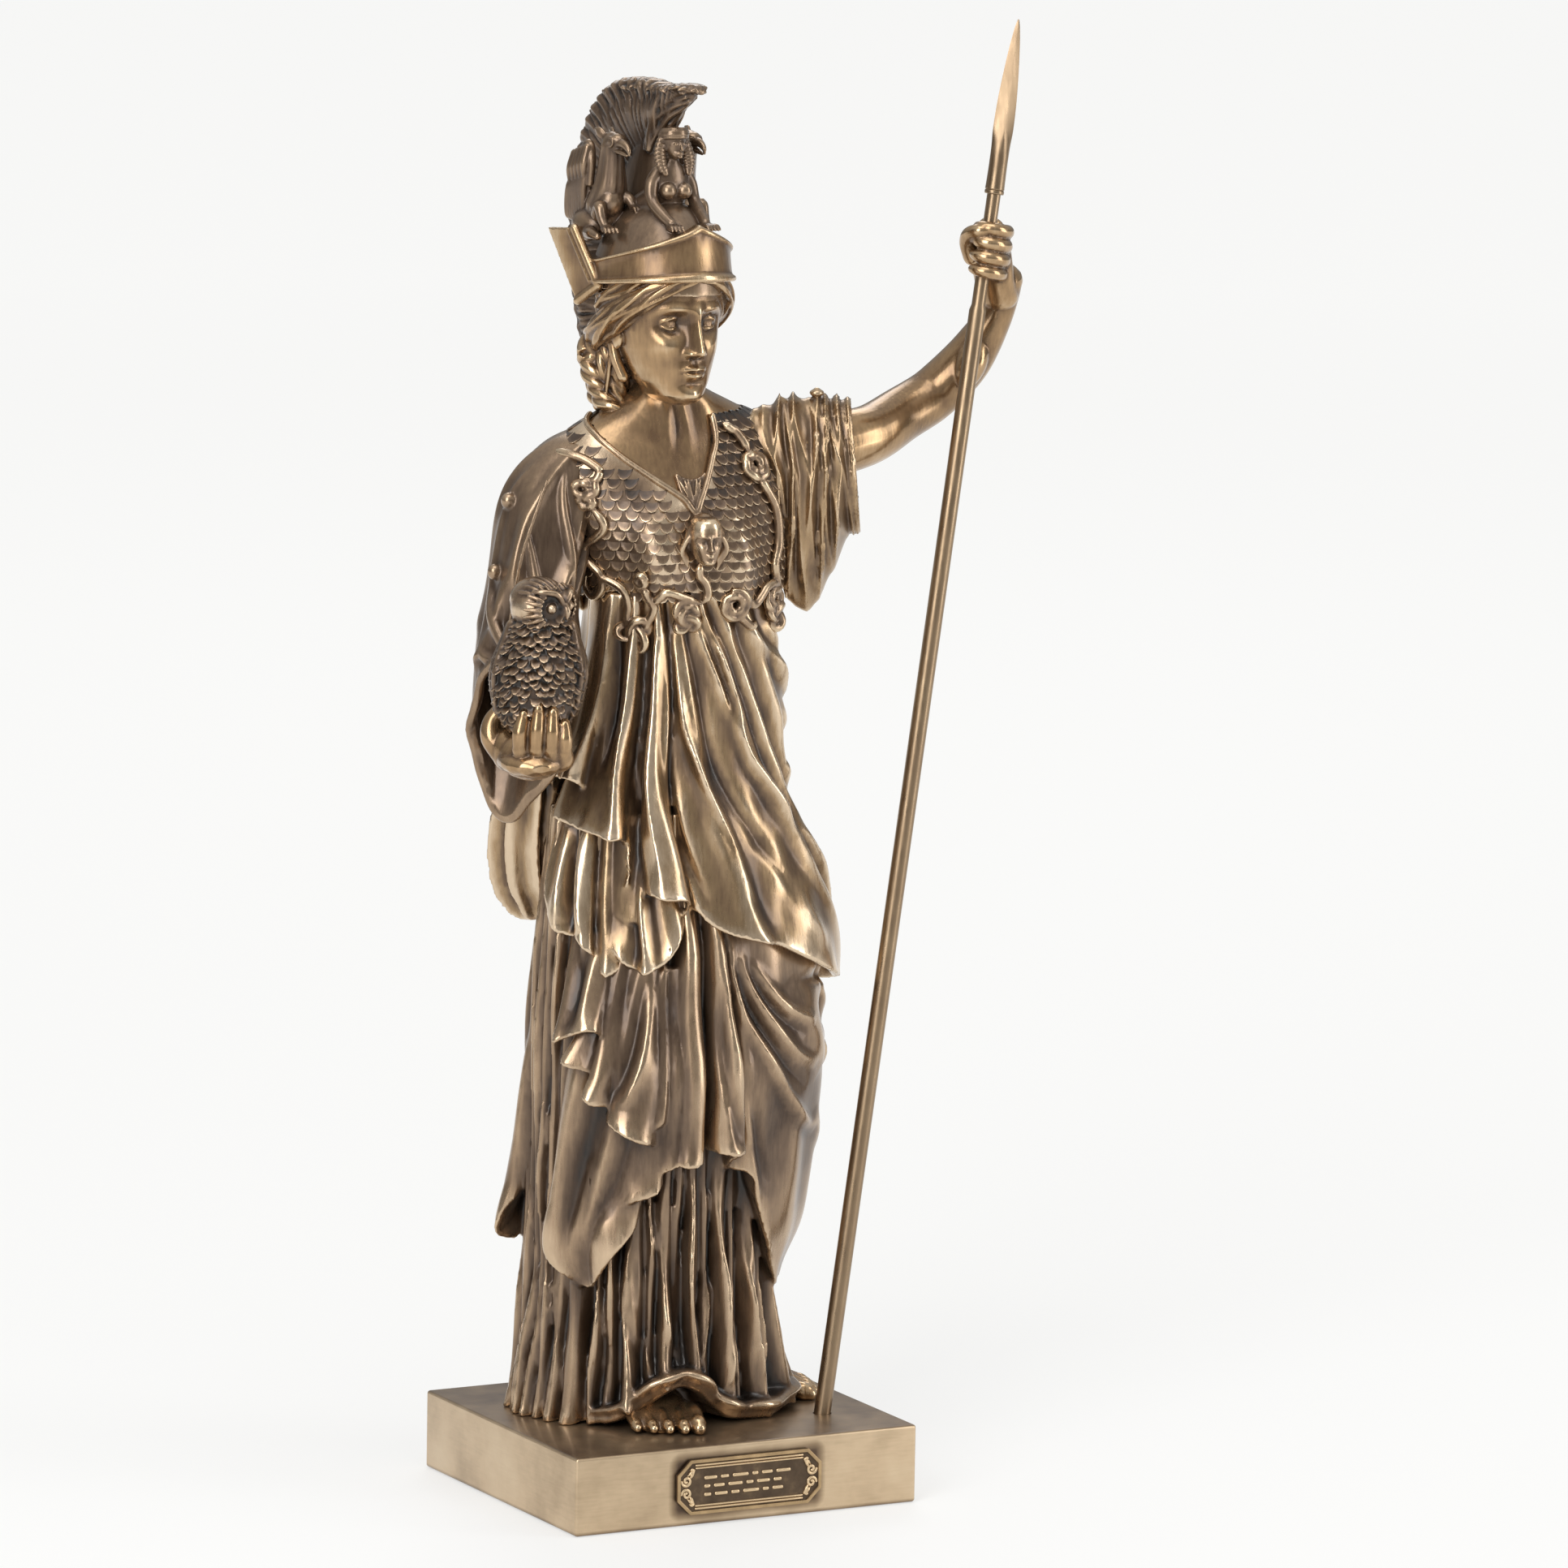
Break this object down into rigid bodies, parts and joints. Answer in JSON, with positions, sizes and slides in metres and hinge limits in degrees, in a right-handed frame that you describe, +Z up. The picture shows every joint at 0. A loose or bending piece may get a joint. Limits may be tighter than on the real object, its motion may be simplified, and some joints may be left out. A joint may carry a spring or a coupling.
{
  "type": "statuette on a plinth",
  "caption": "Standing draped goddess in a crested helmet on a rectangular plinth, an owl on one palm and a long spear held upright in the raised other hand.",
  "frame": {"origin": "middle of the plinth's underside", "axes": "+Z up through the figure, -Y towards the nameplate side that the figure faces, +X towards the hand that holds the spear"},
  "size_m": [0.2069, 0.1169, 0.5015],
  "materials": {
    "bronze": "satin, bronze powder in resin, rubbed bright on the high places with dark brown patina in the hollows",
    "base_bronze": "satin, brushed sides with a darker glossy top",
    "plate_bronze": "dark ground with lighter raised strokes",
    "rod_bronze": "satin, smooth"
  },
  "bodies": {
    "root": {"plinth": "base_bronze", "nameplate": "plate_bronze", "figure": "bronze", "spear_shaft": "rod_bronze", "spear_head": "rod_bronze"}
  },
  "joints": []
}
